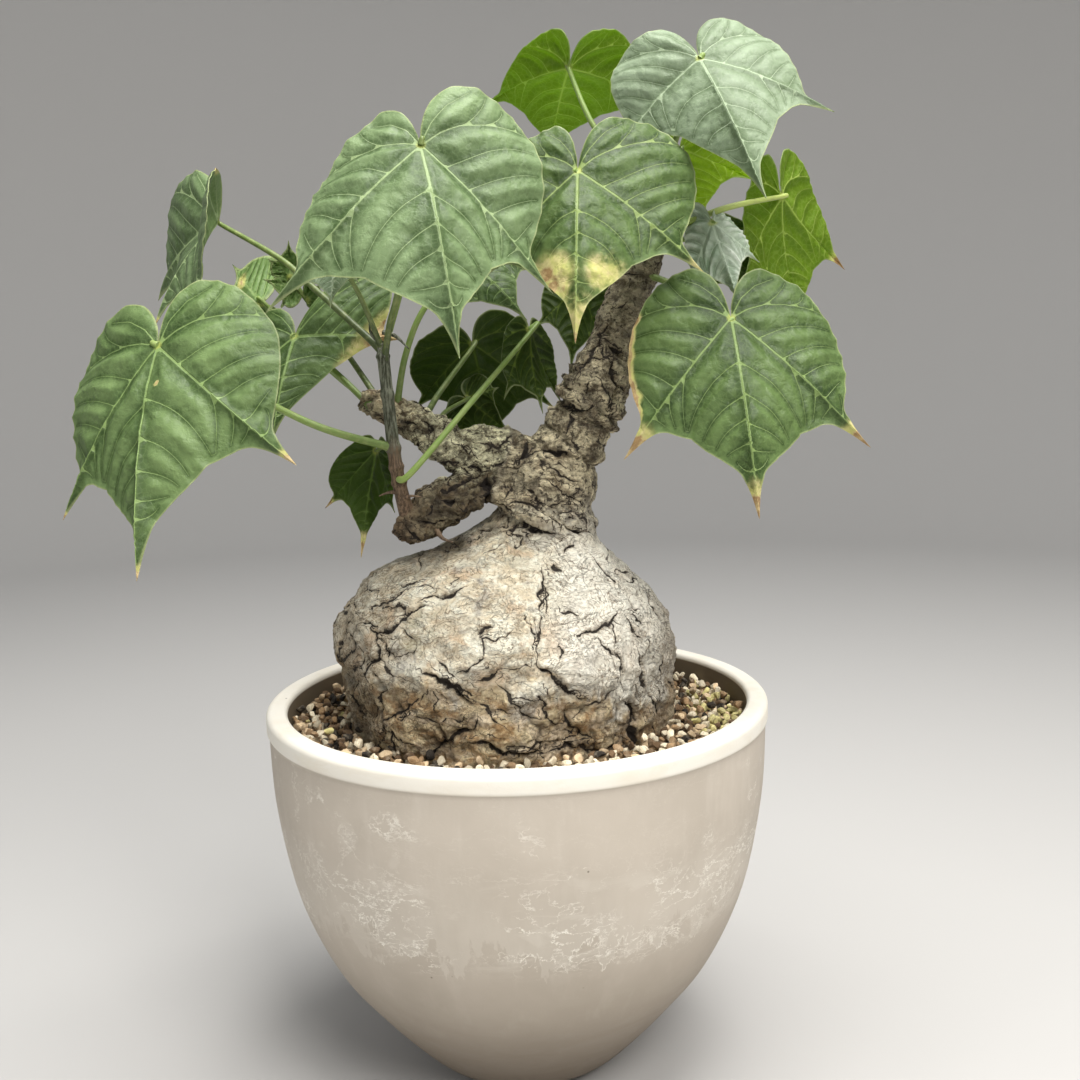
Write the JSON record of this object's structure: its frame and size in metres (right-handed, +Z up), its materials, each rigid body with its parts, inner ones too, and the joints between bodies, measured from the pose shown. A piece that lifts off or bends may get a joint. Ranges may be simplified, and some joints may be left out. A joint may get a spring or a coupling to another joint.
{
  "type": "potted firmiana colorata",
  "caption": "Swollen-based caudex plant with a leaning trunk, a gnarled side branch and lobed drip-tip leaves, standing in gravel in a round-bellied pot.",
  "frame": {"origin": "centre of the pot's foot, on the surface it stands on", "axes": "+Z up; -Y towards the side the plant is seen from; +X to the right from there, the way the trunk leans"},
  "size_m": [0.3732, 0.25, 0.5138],
  "materials": {
    "pot": "matte warm greige with pale mineral bloom, cream lip",
    "gravel": "mixed dry grit, cream, tan, brown and black",
    "bark": "rough corky bark, cream plates over dark cracks, brown near the soil",
    "leaf": "semi-gloss mid green leaf with pale raised veins",
    "leaf_pale": "pale bluish green leaf, satin",
    "leaf_lit": "yellow-green leaf underside",
    "leaf_dark": "deep green leaf"
  },
  "bodies": {
    "root": {"pot": "pot", "gravel": "gravel", "wood": "bark", "leaf_low_left": "leaf", "leaf_edge_left": "leaf", "leaf_folded_left": "leaf", "leaf_tucked_left": "leaf", "leaf_big_left": "leaf", "leaf_pale_small": "leaf_pale", "leaf_centre": "leaf", "leaf_top_back": "leaf_lit", "leaf_top_right": "leaf_pale", "leaf_lit_right": "leaf_lit", "leaf_far_right": "leaf_lit", "leaf_blue_small": "leaf_pale", "leaf_dark_right": "leaf_dark", "leaf_low_right": "leaf", "leaf_dark_centre": "leaf_dark", "leaf_inner": "leaf_dark", "leaf_behind_trunk": "leaf_dark", "leaf_small_low": "leaf", "leaf_strip_centre": "leaf", "leaf_hidden_back": "leaf", "leaf_dark_low": "leaf_dark", "young_leaves": "leaf"}
  },
  "joints": []
}
